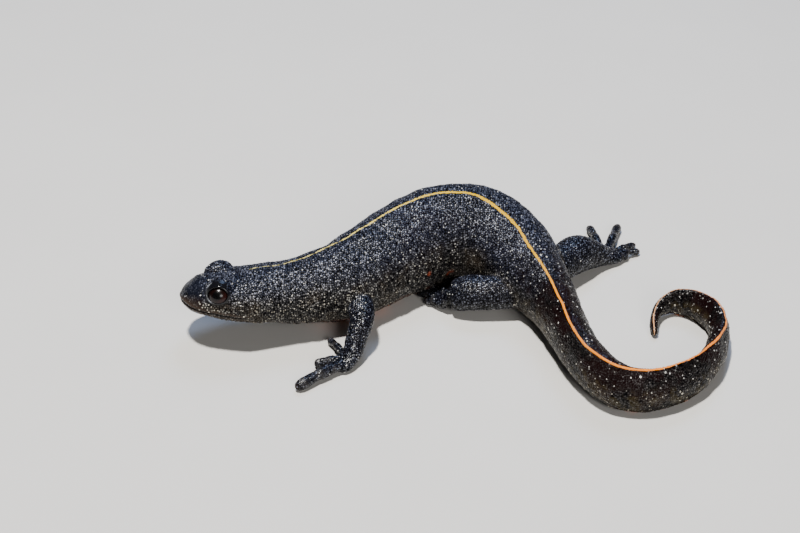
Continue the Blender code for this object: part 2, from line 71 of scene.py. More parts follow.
# The body from snout to tail tip: x, y and height of the widest line, half width, reach above,
# reach below, lean of the top to the right in degrees, and fullness of the section.
HEAD_ROWS = [
    (-27.35, -9.45, 6.4, 2.2, 2.05, 1.4, 12, 2.2),
    (-25.55, -9.20, 6.0, 3.1, 2.5, 1.6, 12, 2.2),
    (-23.15, -8.90, 5.9, 4.0, 2.8, 2.1, 12, 2.2),
    (-20.75, -8.60, 5.75, 4.7, 3.1, 2.6, 12, 2.2),
    (-18.6, -8.30, 5.6, 4.8, 3.5, 3.0, 12, 2.1),
    (-16.3, -7.85, 5.4, 4.5, 3.8, 3.2, 12, 2.0),
]
TRUNK_ROWS = [
    (-13.6, -7.3, 5.3, 4.4, 4.0, 3.7, 12, 2.0),
    (-10.6, -6.2, 5.2, 4.7, 4.5, 4.4, 11, 2.0),
    (-7.2, -4.6, 5.1, 5.1, 5.1, 4.9, 9, 2.0),
    (-3.6, -1.6, 5.0, 5.4, 5.9, 5.2, 7, 2.0),
    (0.2, 1.7, 5.0, 5.8, 6.6, 5.2, 4, 2.0),
    (5.2, 5.2, 5.0, 6.0, 7.1, 5.2, 1, 2.0),
    (10.6, 5.6, 5.0, 6.0, 6.7, 5.2, -2, 2.0),
    (14.6, 2.0, 4.8, 5.35, 5.7, 5.0, -3, 2.0),
    (17.1, -3.0, 4.4, 4.3, 4.9, 4.58, -5, 2.0),
    (19.15, -7.6, 4.0, 3.2, 4.6, 4.16, -8, 2.0),
]
TAIL_ROWS = [
    (20.5, -12.2, 3.8, 2.65, 4.4, 3.95, -12, 1.9),
    (21.9, -17.0, 3.6, 2.4, 4.2, 3.75, -12, 1.8),
    (23.5, -20.5, 3.4, 2.25, 4.0, 3.54, -8, 1.7),
    (25.7, -23.0, 3.2, 2.1, 3.6, 3.33, -3, 1.6),
    (28.8, -23.7, 3.0, 1.8, 3.2, 3.12, 0, 1.6),
    (32.0, -22.9, 2.8, 1.6, 3.1, 2.91, 0, 1.6),
    (34.9, -21.1, 2.6, 1.5, 3.0, 2.70, 0, 1.6),
    (37.4, -18.2, 2.5, 1.4, 2.8, 2.60, 0, 1.6),
    (39.1, -14.6, 2.4, 1.3, 2.6, 2.50, 0, 1.6),
    (39.9, -10.9, 2.2, 1.2, 2.5, 2.29, 0, 1.6),
    (39.2, -7.8, 2.1, 1.1, 2.4, 2.18, 0, 1.6),
    (37.3, -5.7, 2.0, 0.95, 2.2, 2.08, 0, 1.7),
    (35.0, -5.0, 1.9, 0.75, 1.7, 1.6, 0, 1.8),
    (33.2, -5.9, 1.6, 0.6, 1.25, 1.2, 0, 1.9),
    (32.3, -7.8, 1.2, 0.5, 0.9, 0.85, 0, 2.0),
    (32.15, -10.2, 0.75, 0.4, 0.45, 0.45, 0, 2.0),
]
SNOUT_ROUND = 2.3
TAIL_TIP_ROUND = 0.6

# Legs from the root inside the body to the end of the palm or sole: x, y, height, half width,
# reach above, reach below.
LEFT_FORELEG = [
    (-6.2, -5.2, 5.0, 1.9, 1.8, 1.8),
    (-5.2, -8.6, 5.0, 1.7, 1.6, 1.6),
    (-4.7, -11.4, 4.3, 1.5, 1.4, 1.4),
    (-5.4, -13.4, 2.7, 1.3, 1.2, 1.2),
    (-6.05, -14.9, 1.4, 1.25, 1.0, 1.0),
    (-7.1, -15.9, 0.85, 1.45, 0.75, 0.92),
    (-8.0, -16.5, 0.7, 1.3, 0.6, 0.81),
]
RIGHT_FORELEG = [
    (-8.6, -3.0, 5.0, 1.9, 1.8, 1.8),
    (-8.8, 0.0, 4.6, 1.75, 1.65, 1.65),
    (-9.4, 2.2, 3.8, 1.5, 1.4, 1.4),
    (-10.6, 3.5, 2.7, 1.3, 1.15, 1.15),
    (-12.0, 4.1, 1.6, 1.3, 0.9, 0.9),
    (-13.2, 4.2, 0.95, 1.35, 0.7, 0.9),
    (-14.2, 4.1, 0.75, 1.35, 0.6, 0.87),
    (-15.0, 4.0, 0.7, 1.1, 0.5, 0.81),
]
LEFT_HIND_LEG = [
    (17.6, -4.4, 3.9, 2.2, 2.3, 2.2),
    (14.0, -4.6, 3.4, 2.15, 2.2, 2.1),
    (11.0, -4.6, 3.2, 2.25, 2.15, 2.1),
    (8.9, -4.35, 3.0, 2.4, 2.2, 2.1),
    (7.5, -3.8, 2.3, 2.4, 1.9, 1.9),
    (6.6, -3.3, 1.5, 2.0, 1.4, 1.4),
    (5.6, -2.7, 0.9, 1.8, 0.9, 1.0),
    (4.7, -1.9, 0.7, 1.5, 0.6, 0.81),
]
RIGHT_HIND_LEG = [
    (18.0, -1.6, 3.9, 2.4, 2.3, 2.3),
    (21.2, 1.8, 3.3, 2.3, 2.35, 2.3),
    (23.6, 4.3, 2.9, 2.5, 2.5, 2.3),
    (25.8, 5.6, 2.0, 1.9, 1.8, 1.8),
    (27.4, 6.5, 1.25, 1.8, 1.15, 1.2),
    (28.7, 7.3, 0.85, 1.8, 0.8, 0.98),
    (29.4, 7.9, 0.7, 1.4, 0.6, 0.81),
]
PALM_ROUND = 0.8

# Fingers and toes from the inner one outward: tip's x and y, and thickness in the middle.
LEFT_FINGERS = [
    (-8.9, -10.9, 0.9),
    (-10.5, -15.8, 1.1),
    (-12.6, -20.4, 1.4),
    (-10.1, -18.3, 0.9),
]
RIGHT_FINGERS = [
    (-14.9, 1.0, 0.9),
    (-17.9, 2.5, 1.0),
    (-18.4, 4.7, 1.0),
    (-16.4, 5.0, 0.9),
]
LEFT_TOES = [
    (7.0, 1.5, 1.5),
    (5.1, 1.3, 1.3),
    (2.8, 0.3, 1.0),
    (2.2, -0.9, 1.05),
    (3.4, -2.9, 0.95),
]
RIGHT_TOES = [
    (26.1, 14.0, 1.1),
    (30.2, 14.3, 1.15),
    (32.0, 9.9, 0.85),
    (32.4, 8.3, 0.9),
    (30.6, 7.0, 0.9),
]
DIGIT_TIP_SHARE = 0.95
DIGIT_ARCH = 0.35
DIGIT_SWELL = 0.045
DIGIT_SWELLS = 2.6
SWELL_START = 0.15
ROOT_BACK = 1.2
ROOT_SPREAD = 0.6
OUTER_ROOT_BACK = 0.8

# The head's own places: distance behind the snout, to the animal's left, and above the widest line.
EYE_AT = (4.8, 3.1, 1.5)
EYE_GAZE = (-0.25, 0.90, 0.36)
MOUND_RADIUS = 1.95
MOUND_BEHIND = 0.62
MOUND_ABOVE = 0.35
NOSTRIL_AT = (0.8, 1.35, 0.75)
JAW_LENGTH = 9.6
MOUTH_DROP = (0.2, 1.3)

# The eyeball, a little larger than what shows and sunk behind the lids, and their opening as seen
# along the gaze: half width, reach above and below its middle, and the middle's height.
BALL_RADIUS = 1.5
BALL_SUNK = 0.2
LID_WIDE = 1.28
LID_HIGH = 0.98
LID_LOW = 1.02
LID_CENTRE = 0.05
LID_THICK = 0.06

# How the lids run into the ball and the head: the widths of their edge and slope, the height,
# place and width of their rim, and how far the skin inside the opening sinks behind the ball.
LID_EDGE = 0.13
LID_SLOPE = (0.12, 0.75)
LID_RIM = (0.05, 0.16, 0.12)
BEHIND_BALL = 0.28
EYE_BACK = 0.6
EYE_REACH = 3.2
# The bare wet skin of the lower and the upper lid, and the fading of its edge.
LOWER_LID = 0.18
UPPER_LID = 0.72
LID_FADE = (-0.1, 0.25)
# The pale arc of painted highlight on the wet lid edge in front of the eye, as seen along the gaze.
ARC_CENTRE = (-0.05, 0.35)
ARC_RADIUS = 1.42
ARC_WIDTH = 0.07
ARC_FRONT = (0.6, 1.05)

# The pale line along the back: place along the body, shift to the right, and half width.
STRIPE_ROWS = np.array([
    (8.5, 0.15, 0.05),
    (12.5, 0.25, 0.08),
    (15.5, 0.3, 0.10),
    (18.5, 0.7, 0.10),
    (22.0, 0.9, 0.10),
    (26.0, 0.6, 0.12),
    (31.0, 0.6, 0.15),
    (34.0, 0.15, 0.18),
    (37.0, -0.2, 0.20),
    (40.0, -0.35, 0.20),
    (42.5, -0.65, 0.21),
    (46.0, -0.45, 0.21),
    (50.0, -0.25, 0.18),
    (58.0, -0.2, 0.13),
    (64.0, -0.05, 0.105),
    (68.0, -0.35, 0.105),
    (71.0, -0.55, 0.105),
    (75.5, -0.35, 0.105),
    (78.0, -0.15, 0.105),
    (83.0, 0.2, 0.10),
    (88.0, 0.1, 0.09),
    (94.0, -0.4, 0.08),
    (99.0, -0.15, 0.07),
    (111.0, -0.1, 0.06),
])
STRIPE_RAGGED = 0.03
STRIPE_STEPS = 0.3

# Places along the body, from the snout, over which one region turns into the next.
SNOUT_END = (2.0, 3.6)
MOUTH_END = (7.8, 9.0)
HEAD_END = 12.5
NECK = (12, 15)
TRUNK_START = (15, 20)
TRUNK_END = (52, 60)
TAIL_START = (50, 64)
SLIM_TAIL = (50, 60)
FIN_START = (55, 64)
FIN_END = (102, 108)

# The same in degrees round the body, from 0 at the top to 180 below.
THROAT = (70, 120)
FLANK_TOP = (25, 50)
FLANK_BOTTOM = (120, 150)
LOW_FLANK = (50, 90)

# Bands raised on the skin, or sunk below it: height and width.
MOUTH_SLIT = (-0.20, 0.09)
LIP = (0.07, 0.18)
LIP_FROM_SLIT = 0.32
LOWER_JAW_IN = -0.05
UPPER_JAW_OUT = 0.03
JAW_BAND = 0.8
NOSTRIL_PIT = (-0.26, 0.17)
NOSTRIL_RIM = (0.06, 0.13)
NOSTRIL_RIM_FROM_PIT = 0.34
THROAT_FOLDS = ((14.6, (-0.16, 0.28)), (14.0, (0.08, 0.5)))
RIB_GROOVE = (-0.07, 0.35)
RIBS = 12
FIRST_RIB = 22.5
RIB_STEP = 2.25
RIB_LEAN = 0.6
FLANK_CREASES = ((38.6, (-0.08, 0.5)), (40.3, (-0.14, 0.5)), (42.0, (-0.08, 0.5)))
BACK_GROOVE = (-0.05, 0.6)
FIN_ABOVE = 0.24
FIN_BELOW = 0.2
FIN_WIDTH = 0.3
UNEVEN = 0.05
UNEVEN_SIZE = 3.2

# Wrinkles on the limbs, and the cleft between the left foot and its knee.
DIGIT_WRINKLE = (-0.028, 0.5)
DIGIT_WRINKLES = 6
DIGIT_ROOT = (0.15, 0.3)
DIGIT_END = (0.86, 0.94)
LEG_WRINKLE = (-0.03, 0.35)
LEG_WRINKLE_STEP = 1.1
KNEE_CLEFT = (-0.55, 0.30)
KNEE_CLEFT_AT = 6.2

# The mesh: its spacing while the folds where legs join are relaxed, and at the end; the rounds of
# relaxing; the folds' place and width outside the body; and how far from a leg they reach.
COARSE = 0.15
FINE = 0.075
FILLET_ROUNDS = 14
COARSE_ROUNDS = 3
FINE_ROUNDS = 6
FILLET = (0.1, 0.8)
NEAR_LEG = (2.8, 4.2)
LEG_EDGE = (0.25, 0.8)

# The granules: spacing, height, radius, gap and least distance as shares of the spacing, how much
# of their height the snout keeps, and how much of it the tail, the limbs and the digits lose.
GRAIN = 0.28
GRAIN_HEIGHT = 0.085
GRAIN_RADIUS = 0.68
GRAIN_GAP = 0.16
GRAIN_APART = 0.62
GRAIN_VARIES = 0.6
SNOUT_GRAIN = 0.35
SNOUT_GRAIN_END = (1.5, 4.5)
TAIL_LOSS = 0.15
TAIL_LOSS_START = (52, 66)
LIMB_LOSS = 0.1
DIGIT_LOSS = 0.45

# White specks: small ones on granules, and large ones on spots of their own. Their chance on the
# back, what other regions add to it, the share that limbs lose, and least radius and brightness
# with what may be added to them.
SPOT_SPACING = 0.62
SPECK_HEIGHT = 0.05
SPECK_FULL = 0.1
NO_SPECK = -0.1
SMALL_SPECKS = SimpleNamespace(
    back=0.04, flank=0.05, cheek=0.16, muzzle=0.4, limb_loss=0.75,
    radius=0.045, growth=0.06, dim=0.15, bright=0.55,
)
LARGE_SPECKS = SimpleNamespace(
    back=0.02, flank=0.03, cheek=0.06, tail=0.10, limb_loss=0.8,
    radius=0.065, growth=0.06, tail_radius=0.02, dim=0.15, bright=0.70,
)

# Large odd numbers that scramble the cells of a grid repeatably.
CELL_FACTORS = (73856093, 19349663, 83492791)
SEED_FACTOR = 2654435761
MIX_FACTORS = (73244475, 739982445, 695872825)
WORD = 2**32

# Two orange patches low on the left flank: their middles and sizes.
FLANK_PATCHES = [((3.8, -3.0, 5.0), 0.45), ((6.5, -0.4, 3.3), 0.75)]

# Colours of the granules' tops on the back, the low flank, the tail and the limbs: of the usual
# ones, and of the palest. The bluish tint on the back and the limbs is a painted sky reflection,
# and the palest tops are painted glints, partly pale granule tips.
GRANULE_TOPS_WITH_SHEEN = (
    (0.010, 0.012, 0.025, 1),
    (0.017, 0.015, 0.015, 1),
    (0.008, 0.006, 0.005, 1),
    (0.008, 0.009, 0.015, 1),
)
GLINT_AND_PALE_GRANULES = (
    (0.17, 0.18, 0.24, 1),
    (0.26, 0.25, 0.23, 1),
    (0.035, 0.028, 0.026, 1),
    (0.11, 0.12, 0.16, 1),
)
# Painted shade: the near black in the gaps between the granules.
SHADE_BETWEEN_GRANULES = (0.0006, 0.0006, 0.0010, 1)

# Other colours, each with the share of it that shows where it is laid over the skin.
TAIL_MOTTLE = (0.006, 0.002, 0.002, 0.8)
TAIL_OLIVE = (0.030, 0.022, 0.008, 0.7)
FLANK_BROWN = (0.046, 0.034, 0.020, 0.5)
WET_LID = (0.003, 0.003, 0.004, 1)
LIP_EDGE = (0.042, 0.031, 0.024, 0.8)
# Painted shade for the mouth slit and the cleft before the left knee.
PAINTED_FOLD_SHADE = (0.001, 0.001, 0.001, 1)
DIGIT_JOINT = (0.05, 0.046, 0.044, 0.3)
DIGIT_TIP = (0.035, 0.022, 0.015, 0.3)
BELLY_EDGE = (0.040, 0.010, 0.005, 1)
FLANK_ORANGE = (0.15, 0.028, 0.010, 1)
# Painted highlight on the wet edge of the lid in front of the eye.
EYE_ARC_HIGHLIGHT = (0.34, 0.36, 0.40, 0.9)

# Pairs for the upper and the lower side, the share of the snout's, and stops of colour ramps.
SNOUT_COLOURS = (0.004, 0.005, 0.009, 1), (0.022, 0.014, 0.010, 1)
SNOUT_SHARE = 0.75
SPECK_COLOURS = (0.62, 0.61, 0.58, 1), (0.56, 0.52, 0.43, 1)
BELLY_BLOTCHES = [(0.50, (0.62, 0.13, 0.012)), (0.55, (0.010, 0.009, 0.010))]
STRIPE_COLOURS = [
    (0.08, (0.30, 0.27, 0.12)),
    (0.22, (0.55, 0.44, 0.11)),
    (0.36, (0.49, 0.30, 0.002)),
    (0.49, (0.50, 0.26, 0.002)),
    (0.56, (0.58, 0.19, 0.010)),
    (0.80, (0.60, 0.165, 0.018)),
    (0.95, (0.50, 0.26, 0.13)),
]

# Roughness between granules, on them, and on the tail, limbs, snout and wet lids. Strength of the
# gloss on the dullest and brightest granules, between them, on wet lids and the line, and its
# share on the tail.
ROUGHNESS = (0.65, 0.26, 0.27, 0.26, 0.28, 0.12)
GLOSS_TOPS = (0.15, 0.85)
GLOSS_BETWEEN, GLOSS_WET, GLOSS_STRIPE = 0.02, 0.30, 0.10
GLOSS_TAIL = 0.8

# The eye: the edges of pupil and iris as shares of the ball's radius, its colours and its finish.
PUPIL_EDGE = (0.34, 0.42)
IRIS_EDGE = (0.62, 0.85)
PUPIL = (0.001, 0.001, 0.001, 1)
IRIS_STREAK = (0.002, 0.0007, 0.0006, 1)
IRIS_FRONT_AND_REAR = (0.006, 0.0015, 0.001, 1), (0.030, 0.005, 0.003, 1)
IRIS_RIM = (0.004, 0.002, 0.002, 1)
EYE_FINISH = {
    "Roughness": 0.25, "Specular IOR Level": 0.2,
    "Coat Weight": 0.6, "Coat Roughness": 0.06, "Coat IOR": 1.22,
}


def length_of(vectors):
    return np.linalg.norm(vectors, axis=-1, keepdims=True)


def ramp(x, low, high):
    """A smooth rise from 0 at low to 1 at high."""
    t = np.clip((x - low) / (high - low), 0.0, 1.0)
    return t * t * (3 - 2 * t)


def ridge(x, width):
    """A smooth hump of height 1 about 0."""
    return np.exp(-((x / width) ** 2))


def form(x, shape):
    """A raised or sunken band about 0, from its height and width."""
    height, width = shape
    return height * ridge(x, width)


def signed_power(x, power):
    return np.sign(x) * np.abs(x) ** power


def outside_by(away, size, least):
    """How far outside an outline points lie, from their distance and their size against it."""
    return away * (1 - 1 / np.maximum(size, least))


def directions(along):
    """Unit vectors along a line, level to the animal's right of it, and up across it."""
    along = along / length_of(along)
    right = np.cross((0.0, 0.0, 1.0), along)
    right /= length_of(right)
    return along, right, np.cross(along, right)


class Course:
    """A smooth curve through rows of numbers, measured in millimetres along its first three."""

    def __init__(self, rows):
        self.table = np.array(rows, float)
        steps = length_of(np.diff(self.table[:, :3], axis=0))[:, 0]
        self.at = np.concatenate([[0.0], np.cumsum(steps)])
        self.slopes = np.gradient(self.table, self.at, axis=0)
        self.length = self.at[-1]

    def rows(self, s):
        s = np.atleast_1d(s)
        i = np.clip(np.searchsorted(self.at, s) - 1, 0, len(self.at) - 2)
        h = (self.at[i + 1] - self.at[i])[:, None]
        t = (s - self.at[i])[:, None] / h
        return (
            (2 * t**3 - 3 * t**2 + 1) * self.table[i]
            + (t**3 - 2 * t**2 + t) * h * self.slopes[i]
            + (3 * t**2 - 2 * t**3) * self.table[i + 1]
            + (t**3 - t**2) * h * self.slopes[i + 1]
        )

    def axes(self, s):
        """Unit vectors at places on the curve: along it, to the animal's right, and to its top."""
        along, right, up = directions(self.rows(s + 0.05)[:, :3] - self.rows(s - 0.05)[:, :3])
        if self.table.shape[1] > 6:
            lean = np.radians(self.rows(s)[:, 6:7])
            cos, sin = np.cos(lean), np.sin(lean)
            right, up = right * cos - up * sin, up * cos + right * sin
        return along, right, up

    def rings(self, s, scale, sides):
        """Rings of points round the curve at places s, each shrunk by its scale."""
        row = self.rows(s)
        _, side, top = self.axes(s)
        angle = 2 * np.pi * np.arange(sides) / sides
        fullness = row[:, 7:8] if row.shape[1] > 7 else 2.0
        across = signed_power(np.sin(angle), 2 / fullness)
        height = signed_power(np.cos(angle), 2 / fullness)
        reach = np.where(height > 0, row[:, 4:5], row[:, 5:6]) * np.reshape(scale, (-1, 1))
        half = row[:, 3:4] * np.reshape(scale, (-1, 1))
        return (
            row[:, None, :3]
            + side[:, None, :] * (half * across)[..., None]
            + top[:, None, :] * (reach * height)[..., None]
        )


BODY = Course(HEAD_ROWS + TRUNK_ROWS + TAIL_ROWS)
LEGS = [
    (Course(LEFT_FORELEG), LEFT_FINGERS),
    (Course(RIGHT_FORELEG), RIGHT_FINGERS),
    (Course(LEFT_HIND_LEG), LEFT_TOES),
    (Course(RIGHT_HIND_LEG), RIGHT_TOES),
]


class Shell:
    """Collects closed surfaces that are joined into one mesh."""

    def __init__(self):
        self.points = []
        self.faces = []

    def add(self, rings, start, end):
        """A tube over rings of points, closed at a start and an end point."""
        count, sides = rings.shape[:2]
        base = len(self.points)
        self.points += [tuple(p) for p in rings.reshape(-1, 3)]
        for r in range(count - 1):
            for k in range(sides):
                a = base + r * sides + k
                b = base + r * sides + (k + 1) % sides
                self.faces.append((a, a + sides, b + sides, b))
        for first, tip, turn in ((base, start, 1), (base + (count - 1) * sides, end, -1)):
            self.points.append(tuple(tip))
            last = len(self.points) - 1
            for k in range(sides):
                pair = (first + k, first + (k + 1) % sides)
                self.faces.append((*pair[::turn], last))

    def ball(self, centre, radius, around=40, rings=20):
        angle = np.pi * np.arange(1, rings) / rings
        turn = 2 * np.pi * np.arange(around) / around
        ring = np.stack([np.cos(turn), np.sin(turn), np.zeros(around)], axis=1)
        points = ring[None] * np.sin(angle)[:, None, None]
        points[..., 2] += np.cos(angle)[:, None]
        centre = np.array(centre)
        self.add(centre + radius * points, centre + (0, 0, radius), centre - (0, 0, radius))

    def mesh(self, name):
        mesh = bpy.data.meshes.new(name)
        mesh.from_pydata(self.points, [], self.faces)
        return mesh


def blunt_tip(radius, count):
    """Places and scales of rings that open a blunt tip like a dome."""
    angle = np.radians(np.linspace(6, 90, count))
    return radius * (1 - np.cos(angle)), np.sin(angle)


def head_axes():
    """The head's own directions at the eyes: backward, to the left, and up."""
    back, right, top = BODY.axes(EYE_AT[0])
    return back[0], -right[0], top[0]


def head_point(place, side=1):
    behind, out, high = place
    _, left, top = head_axes()
    return BODY.rows(behind)[0, :3] + left * (side * out) + top * high


def gaze(side):
    back, left, top = head_axes()
    direction = back * EYE_GAZE[0] + left * (side * EYE_GAZE[1]) + top * EYE_GAZE[2]
    return direction / np.linalg.norm(direction)


def ball_centre(side):
    return head_point(EYE_AT, side) - gaze(side) * BALL_SUNK


def add_body(shell):
    start, start_scale = blunt_tip(SNOUT_ROUND, 12)
    end, end_scale = blunt_tip(TAIL_TIP_ROUND, 8)
    middle = np.arange(SNOUT_ROUND + 0.2, BODY.length - TAIL_TIP_ROUND - 0.1, 0.3)
    s = np.concatenate([start, middle, BODY.length - end[::-1]])
    scale = np.concatenate([start_scale, np.ones(len(middle)), end_scale[::-1]])
    rings = BODY.rings(s, scale, 72)
    shell.add(rings, BODY.rows(0)[0, :3], BODY.rows(BODY.length)[0, :3])


def add_eye_mounds(shell):
    above = head_axes()[2] * MOUND_ABOVE
    for side in (1, -1):
        shell.ball(head_point(EYE_AT, side) - gaze(side) * MOUND_BEHIND + above, MOUND_RADIUS)


def digit_line(root, tip, thickness):
    """Points and radii of a digit that arches from inside the palm to its tip on the floor."""
    t = np.concatenate([np.linspace(0, 0.9, 16), [0.94, 0.97, 0.99]])
    tip_radius = DIGIT_TIP_SHARE * thickness / 2
    points = root + (np.array((*tip, tip_radius * 0.95)) - root) * t[:, None]
    points[:, 2] += DIGIT_ARCH * np.sin(np.pi * t)
    radius = thickness / 2 + (tip_radius - thickness / 2) * t**2
    swells = np.cos(2 * np.pi * (DIGIT_SWELLS * t - SWELL_START))
    radius += DIGIT_SWELL * swells * ramp(t, 0.1, 0.3)
    blunt = np.sqrt(np.clip(1 - ramp(t, 0.9, 1.02) ** 2, 0.05, 1))
    return points, radius * blunt


def digit_lines(leg, digits):
    """The digits of one palm, rooted across its width from the inner one outward."""
    base = leg.rows(leg.length - ROOT_BACK)[0]
    along, right, _ = (axis[0] for axis in leg.axes(leg.length - PALM_ROUND))
    inward = np.array(digits[0][:2]) - np.array(digits[-1][:2])
    across = right if inward @ right[:2] > 0 else -right
    lines = []
    for k, (tip_x, tip_y, thickness) in enumerate(digits):
        share = 1 - 2 * k / (len(digits) - 1)
        root = base[:3] + across * (share * base[3] * ROOT_SPREAD)
        root = root - along * (abs(share) * OUTER_ROOT_BACK)
        lines.append(digit_line(root, (tip_x, tip_y), thickness))
    return lines


def add_tube(shell, points, radii):
    along, side, up = directions(np.gradient(points, axis=0))
    sides = 20
    angle = 2 * np.pi * np.arange(sides) / sides
    sine, cosine = np.sin(angle)[None, :, None], np.cos(angle)[None, :, None]
    ring = side[:, None] * sine + up[:, None] * cosine
    rings = points[:, None] + ring * radii[:, None, None]
    shell.add(rings, points[0] - along[0] * 0.2, points[-1] + along[-1] * radii[-1] * 0.6)


def add_legs(shell):
    end, end_scale = blunt_tip(PALM_ROUND, 8)
    for leg, digits in LEGS:
        s = np.concatenate([np.arange(0, leg.length - PALM_ROUND, 0.3), leg.length - end[::-1]])
        scale = np.concatenate([np.ones(len(s) - len(end)), end_scale[::-1]])
        shell.add(leg.rings(s, scale, 36), leg.rows(0)[0, :3], leg.rows(leg.length)[0, :3])
        for points, radii in digit_lines(leg, digits):
            add_tube(shell, points, radii)


def add_object(name, data):
    made = bpy.data.objects.new(name, data)
    bpy.context.scene.collection.objects.link(made)
    return made


def read(items, name, size, kind):
    """Rows of numbers, one for each item of a mesh."""
    values = np.empty(len(items) * size, kind)
    items.foreach_get(name, values)
    return values.reshape(-1, size)


def points_of(mesh):
    return read(mesh.vertices, "co", 3, np.float32).astype(float)


def normals_of(mesh):
    return read(mesh.vertex_normals, "vector", 3, np.float32).astype(float)


def set_points(mesh, points):
    mesh.vertices.foreach_set("co", points.astype(np.float32).ravel())
    mesh.update()


def store(mesh, values):
    """Stores a number per point under each name, for the materials to read."""
    for name, value in values.items():
        layer = mesh.attributes.new(name, "FLOAT", "POINT")
        layer.data.foreach_set("value", value.astype(np.float32))


def relax(points, edges, rounds, weight=1.0, moves=(0.5, -0.53)):
    """Moves points to the mean of their neighbours; a move back each round keeps the size."""
    a, b = edges[:, 0], edges[:, 1]
    count = len(points)
    degree = np.bincount(a, minlength=count) + np.bincount(b, minlength=count)
    for _ in range(rounds):
        for move in moves:
            mean = np.empty_like(points)
            for axis in range(3):
                total = np.bincount(a, weights=points[b, axis], minlength=count)
                total += np.bincount(b, weights=points[a, axis], minlength=count)
                mean[:, axis] = total / degree
            points = points + (mean - points) * np.reshape(move * weight, (-1, 1))
    return points


def tree_of(points):
    tree = KDTree(len(points))
    for k, point in enumerate(points):
        tree.insert(point, k)
    tree.balance()
    return tree


def nearest(points, centres):
    """The number of the centre that is nearest to each point."""
    tree = tree_of(centres)
    return np.array([tree.find(point)[1] for point in points])


class Places:
    """Where points lie along and round the body, and how far they are from its plain surface."""

    def __init__(self, points):
        s = np.arange(0, BODY.length, 0.1)
        row = BODY.rows(s)
        along, side, top = BODY.axes(s)
        near = nearest(points, row[:, :3])
        offset = points - row[near, :3]
        self.s = s[near] + np.einsum("ij,ij->i", offset, along[near])
        self.side = np.einsum("ij,ij->i", offset, side[near])
        self.top = np.einsum("ij,ij->i", offset, top[near])
        half = row[near, 3]
        reach = np.where(self.top > 0, row[near, 4], row[near, 5])
        fullness = row[near, 7]
        across = np.abs(self.side / half)
        height = np.abs(self.top / reach)
        size = (across**fullness + height**fullness) ** (1 / fullness)
        self.outside = outside_by(np.hypot(self.side, self.top), size, least=0.3)
        self.angle = np.degrees(np.abs(np.arctan2(self.side / half, self.top / reach)))


class Limbs:
    """How far along its leg, in millimetres, or its digit, from 0 to 1, each point lies."""

    def __init__(self, points):
        parts = []
        for leg, digits in LEGS:
            s = np.linspace(0, leg.length, 60)
            parts.append((leg.rows(s)[:, :3], np.zeros(len(s)), s))
            for line, _ in digit_lines(leg, digits):
                parts.append((line, np.ones(len(line)), np.linspace(0, 1, len(line))))
        centres, digit, share = (np.concatenate(part) for part in zip(*parts))
        near = nearest(points, centres)
        self.digit, self.share = digit[near], share[near]


def scramble(cell, seed):
    """A repeatable number from 0 to 1 for each cell of a grid."""
    x, y, z = (cell[..., axis] * factor for axis, factor in enumerate(CELL_FACTORS))
    code = ((x ^ y ^ z) + seed * SEED_FACTOR) & (WORD - 1)
    for factor in MIX_FACTORS:
        code = ((code ^ (code >> 16)) * factor) & (WORD - 1)
    return (code ^ (code >> 16)) / WORD


def waves(points, size, seed):
    """Gentle noise from about -1 to 1, a sum of waves in random directions."""
    rng = np.random.default_rng(seed)
    total = np.zeros(len(points))
    weight = 0.42
    for _ in range(2):
        for _ in range(6):
            direction = rng.normal(size=3)
            direction /= np.linalg.norm(direction)
            phase = rng.uniform(0, 2 * np.pi)
            total += weight * np.sin(points @ direction * (2 * np.pi / size) + phase)
        size *= 0.5
        weight *= 0.5
    return total


def fused(skin, voxel):
    """Fuses all the closed surfaces of the skin into one, at an even spacing."""
    remesh = skin.modifiers.new("fuse", "REMESH")
    remesh.mode = "VOXEL"
    remesh.voxel_size = voxel
    bpy.context.view_layer.update()
    graph = bpy.context.evaluated_depsgraph_get()
    mesh = bpy.data.meshes.new_from_object(skin.evaluated_get(graph))
    skin.modifiers.clear()
    old = skin.data
    skin.data = mesh
    bpy.data.meshes.remove(old)
    return mesh, points_of(mesh), read(mesh.edges, "vertices", 2, np.int32)


def near_legs(points):
    """1 near the legs, 0 away from them."""
    middles = [leg.rows(np.linspace(0, leg.length * 0.8, 24))[:, :3] for leg, _ in LEGS]
    tree = tree_of(np.concatenate(middles))
    distance = np.array([tree.find(point)[2] for point in points])
    return 1 - ramp(distance, *NEAR_LEG)


def build_surface():
    """Body, eye mounds, legs and digits as one smooth surface, with soft folds where legs join."""
    shell = Shell()
    add_body(shell)
    add_eye_mounds(shell)
    add_legs(shell)
    skin = add_object("skin", shell.mesh("skin"))
    mesh, points, edges = fused(skin, COARSE)
    place = Places(points)
    at, width = FILLET
    joint = ridge(place.outside - at, width) * ramp(place.s, *NECK) * near_legs(points)
    points = relax(points, edges, FILLET_ROUNDS, weight=joint, moves=(0.5,))
    set_points(mesh, relax(points, edges, COARSE_ROUNDS))
    mesh, points, edges = fused(skin, FINE)
    points = relax(points, edges, FINE_ROUNDS)
    points[:, 2] = np.maximum(points[:, 2], 0.0)
    set_points(mesh, points)
    return skin


def unwrap(skin):
    """A UV map on the skin's own smooth shape, before its grain is raised."""
    skin.data.uv_layers.new(name="OFBake")
    bpy.ops.object.select_all(action="DESELECT")
    bpy.context.view_layer.objects.active = skin
    skin.select_set(True)
    bpy.ops.object.mode_set(mode="EDIT")
    bpy.ops.mesh.select_all(action="SELECT")
    bpy.ops.uv.smart_project(angle_limit=1.15, island_margin=0.004, scale_to_bounds=True)
    bpy.ops.object.mode_set(mode="OBJECT")


